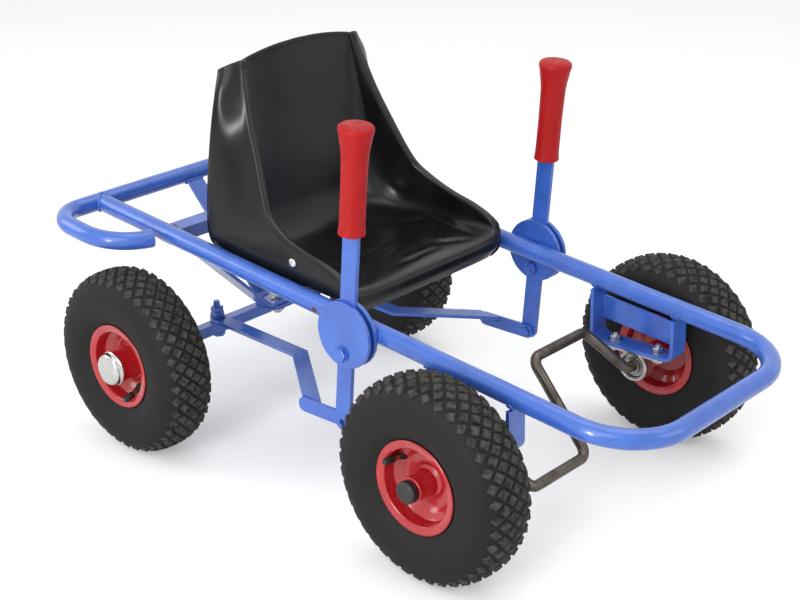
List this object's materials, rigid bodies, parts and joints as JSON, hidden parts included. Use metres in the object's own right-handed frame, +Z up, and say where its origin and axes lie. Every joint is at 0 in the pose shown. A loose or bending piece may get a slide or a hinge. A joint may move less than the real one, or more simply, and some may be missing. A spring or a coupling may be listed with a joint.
{
  "type": "ride-on pedal cart",
  "caption": "Child's ride-on cart with pneumatic wheels, a bent-rod pedal crank on the front axle, two hand levers that steer the rear axle, and a moulded bucket seat.",
  "frame": {"origin": "on the ground, under the middle of the cart's overall box", "axes": "+X forward, from the seat to the front loop; +Y to the rider's left; +Z up"},
  "size_m": [0.9536, 0.5976, 0.5411],
  "materials": {
    "frame_blue": "gloss powder coat",
    "rim_red": "gloss paint",
    "grip_red": "satin",
    "seat_black": "semi-gloss moulding",
    "tyre_rubber": "matt",
    "cap_black": "satin",
    "zinc": "bright zinc plate",
    "chrome": "polished",
    "bearing_steel": "ground",
    "raw_steel": "bare dark steel"
  },
  "bodies": {
    "frame": {"main_frame_tube": "frame_blue", "rear_tube": "frame_blue", "seat_cross_tube": "frame_blue", "pivot_hanger": "frame_blue", "rear_stay": "frame_blue", "seat_support_bar": "frame_blue", "seat_tab_left": "frame_blue", "seat_tab_right": "frame_blue", "kingpin_bolt": "zinc", "pivot_disc_inner_left": "frame_blue", "pivot_disc_inner_right": "frame_blue", "pivot_disc_outer_left": "frame_blue", "pivot_disc_outer_right": "frame_blue", "lever_bolt_left": "frame_blue", "lever_bolt_right": "frame_blue", "front_bracket_left": "frame_blue", "front_bracket_right": "frame_blue", "bracket_plate_left": "frame_blue", "bracket_plate_right": "frame_blue", "bearing_housing_left": "zinc", "bearing_housing_right": "zinc", "housing_bolt_left_front": "zinc", "housing_bolt_left_rear": "zinc", "housing_bolt_right_front": "zinc", "housing_bolt_right_rear": "zinc", "seat": "seat_black", "seat_bolt_left": "zinc", "seat_bolt_right": "zinc"},
    "rear_axle": {"rear_axle_beam": "frame_blue", "pivot_lug": "frame_blue", "link_bolt_left": "frame_blue", "link_bolt_right": "frame_blue"},
    "link_left": {"link_bar_left": "frame_blue", "link_tang_left": "frame_blue", "tang_bolt_left": "frame_blue"},
    "link_right": {"link_bar_right": "frame_blue", "link_tang_right": "frame_blue", "tang_bolt_right": "frame_blue"},
    "lever_left": {"lever_bar_left": "frame_blue", "grip_left": "grip_red"},
    "lever_right": {"lever_bar_right": "frame_blue", "grip_right": "grip_red"},
    "crank": {"crank_rod": "raw_steel", "bearing_insert_left": "bearing_steel", "bearing_insert_right": "bearing_steel", "tyre_front_right": "tyre_rubber", "rim_front_right": "rim_red", "axle_cap_front_right": "cap_black"},
    "wheel_front_left": {"tyre_front_left": "tyre_rubber", "rim_front_left": "rim_red", "axle_cap_front_left": "cap_black"},
    "wheel_rear_left": {"tyre_rear_left": "tyre_rubber", "rim_rear_left": "rim_red", "hub_cap_rear_left": "chrome", "wheel_bearing_rear_left": "bearing_steel"},
    "wheel_rear_right": {"tyre_rear_right": "tyre_rubber", "rim_rear_right": "rim_red", "hub_cap_rear_right": "chrome", "wheel_bearing_rear_right": "bearing_steel"}
  },
  "joints": [
    {"name": "steer", "type": "hinge", "parent": "frame", "child": "rear_axle", "pos_m": [-0.289, 0, 0.13], "axis": [0, 0, 1], "range_deg": [-18, 18]},
    {"name": "link_left_turn", "type": "hinge", "parent": "rear_axle", "child": "link_left", "pos_m": [-0.311, 0.097, 0.13], "axis": [0, 0, 1], "range_deg": [-17.5, 17.5]},
    {"name": "link_right_turn", "type": "hinge", "parent": "rear_axle", "child": "link_right", "pos_m": [-0.311, -0.097, 0.13], "axis": [0, 0, 1], "range_deg": [-17.5, 17.5]},
    {"name": "lever_left_swing", "type": "hinge", "parent": "frame", "child": "lever_left", "pos_m": [0.04234, 0.1871, 0.21979], "axis": [0, 1, 0], "range_deg": [-18, 18]},
    {"name": "lever_right_swing", "type": "hinge", "parent": "frame", "child": "lever_right", "pos_m": [0.04234, -0.1871, 0.21979], "axis": [0, 1, 0], "range_deg": [-18, 18]},
    {"name": "crank_spin", "type": "hinge", "parent": "frame", "child": "crank", "pos_m": [0.229, 0, 0.13], "axis": [0, 1, 0], "continuous": true},
    {"name": "front_left_spin", "type": "hinge", "parent": "frame", "child": "wheel_front_left", "pos_m": [0.229, 0.244, 0.13], "axis": [0, 1, 0], "continuous": true},
    {"name": "rear_left_spin", "type": "hinge", "parent": "rear_axle", "child": "wheel_rear_left", "pos_m": [-0.311, 0.248, 0.13], "axis": [0, 1, 0], "continuous": true},
    {"name": "rear_right_spin", "type": "hinge", "parent": "rear_axle", "child": "wheel_rear_right", "pos_m": [-0.311, -0.248, 0.13], "axis": [0, 1, 0], "continuous": true}
  ],
  "couplings": [
    {"joint": "lever_left_swing", "follows": "steer", "ratio": 0.96},
    {"joint": "lever_right_swing", "follows": "steer", "ratio": -0.96},
    {"joint": "link_left_turn", "follows": "steer", "ratio": -0.933},
    {"joint": "link_right_turn", "follows": "steer", "ratio": -0.933}
  ]
}
